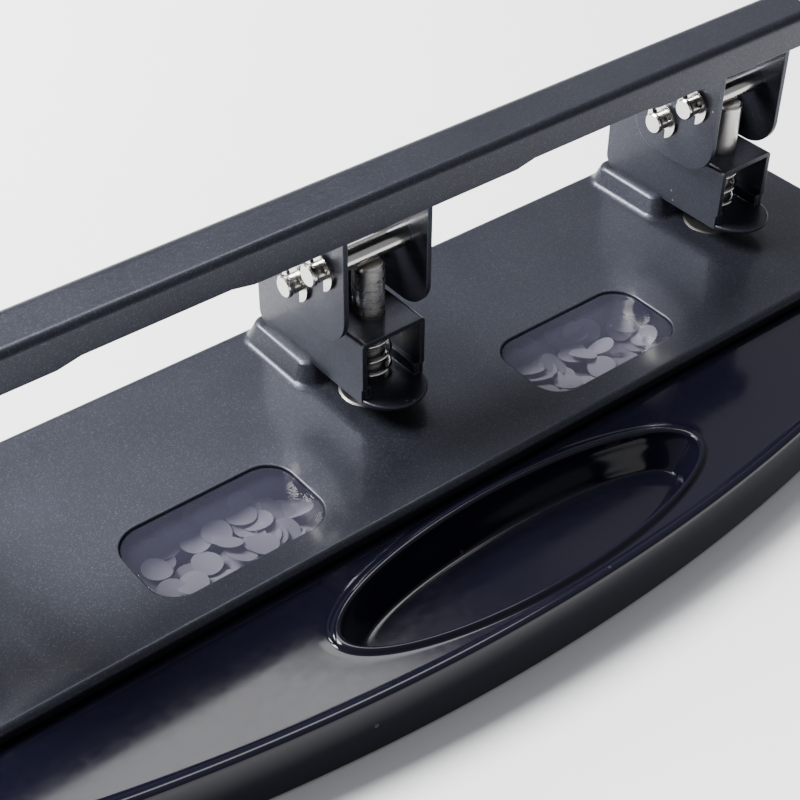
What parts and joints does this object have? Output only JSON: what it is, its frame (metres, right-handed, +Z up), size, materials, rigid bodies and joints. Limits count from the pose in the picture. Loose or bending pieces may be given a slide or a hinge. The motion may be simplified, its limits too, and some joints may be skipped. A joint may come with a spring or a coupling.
{
  "type": "hole punch",
  "caption": "Lever-operated paper punch for a row of holes: sprung punches in folded steel heads on a painted base, with viewing windows over a pull-out chip drawer.",
  "frame": {"origin": "middle of the footprint, on the surface that the punch stands on", "axes": "+X along the lever to the user's right, +Y away from the user, +Z up"},
  "size_m": [0.2758, 0.1058, 0.0733],
  "materials": {
    "blue_grey_paint": "blue-grey metallic coat with fine sparkle, semi-gloss",
    "bottom_steel": "plain zinc-plated sheet",
    "bright_steel": "bright turned and plated",
    "tool_steel": "ground and polished",
    "spring_steel": "bright drawn wire",
    "foot_rubber": "matt black",
    "smoky_pane": "clear moulded pane with a faint smoky tint",
    "black_plastic": "high-gloss, near black with a blue cast"
  },
  "bodies": {
    "base": {"base_cover": "blue_grey_paint", "base_bottom": "bottom_steel", "base_posts": "bright_steel", "base_screws": "bright_steel", "rubber_feet": "foot_rubber", "window_pane_left": "smoky_pane", "window_pane_right": "smoky_pane", "bracket_rivets": "bright_steel", "die_left": "tool_steel", "head_bracket_left": "blue_grey_paint", "guide_plate_left": "blue_grey_paint", "punch_spring_left": "spring_steel", "die_middle": "tool_steel", "head_bracket_middle": "blue_grey_paint", "guide_plate_middle": "blue_grey_paint", "punch_spring_middle": "spring_steel", "die_right": "tool_steel", "head_bracket_right": "blue_grey_paint", "guide_plate_right": "blue_grey_paint", "punch_spring_right": "spring_steel"},
    "lever": {"lever_channel": "blue_grey_paint", "e_clips": "bright_steel", "lever_yoke_left": "blue_grey_paint", "lever_yoke_middle": "blue_grey_paint", "lever_yoke_right": "blue_grey_paint", "pivot_pin_left": "bright_steel", "pivot_pin_middle": "bright_steel", "pivot_pin_right": "bright_steel", "press_pin_left": "bright_steel", "press_pin_middle": "bright_steel", "press_pin_right": "bright_steel"},
    "chip_tray": {"tray_front": "black_plastic", "chip_floor": "black_plastic", "chip_wall_front": "black_plastic", "chip_wall_back": "black_plastic", "chip_wall_left": "black_plastic", "chip_wall_right": "black_plastic"},
    "punch_left": {"punch_left": "tool_steel", "punch_collar_left": "bright_steel"},
    "punch_middle": {"punch_middle": "tool_steel", "punch_collar_middle": "bright_steel"},
    "punch_right": {"punch_right": "tool_steel", "punch_collar_right": "bright_steel"}
  },
  "joints": [
    {"name": "lever_press", "type": "hinge", "parent": "base", "child": "lever", "pos_m": [0, 0.0281, 0.0462], "axis": [1, 0, 0], "range_deg": [0, 40], "stiffness_Nm_per_rad": 0.5, "springref_deg": -34.38},
    {"name": "tray_slide", "type": "slide", "parent": "base", "child": "chip_tray", "axis": [0, -1, 0], "range_m": [0, 0.05]},
    {"name": "punch_stroke_left", "type": "slide", "parent": "base", "child": "punch_left", "axis": [0, 0, -1], "range_m": [0, 0.0076], "deforming": ["punch_spring_left"]},
    {"name": "punch_stroke_middle", "type": "slide", "parent": "base", "child": "punch_middle", "axis": [0, 0, -1], "range_m": [0, 0.0076], "deforming": ["punch_spring_middle"]},
    {"name": "punch_stroke_right", "type": "slide", "parent": "base", "child": "punch_right", "axis": [0, 0, -1], "range_m": [0, 0.0076], "deforming": ["punch_spring_right"]}
  ],
  "couplings": [
    {"joint": "punch_stroke_left", "follows": "lever_press", "m_per_rad": 0.010743},
    {"joint": "punch_stroke_middle", "follows": "lever_press", "m_per_rad": 0.010743},
    {"joint": "punch_stroke_right", "follows": "lever_press", "m_per_rad": 0.010743}
  ]
}
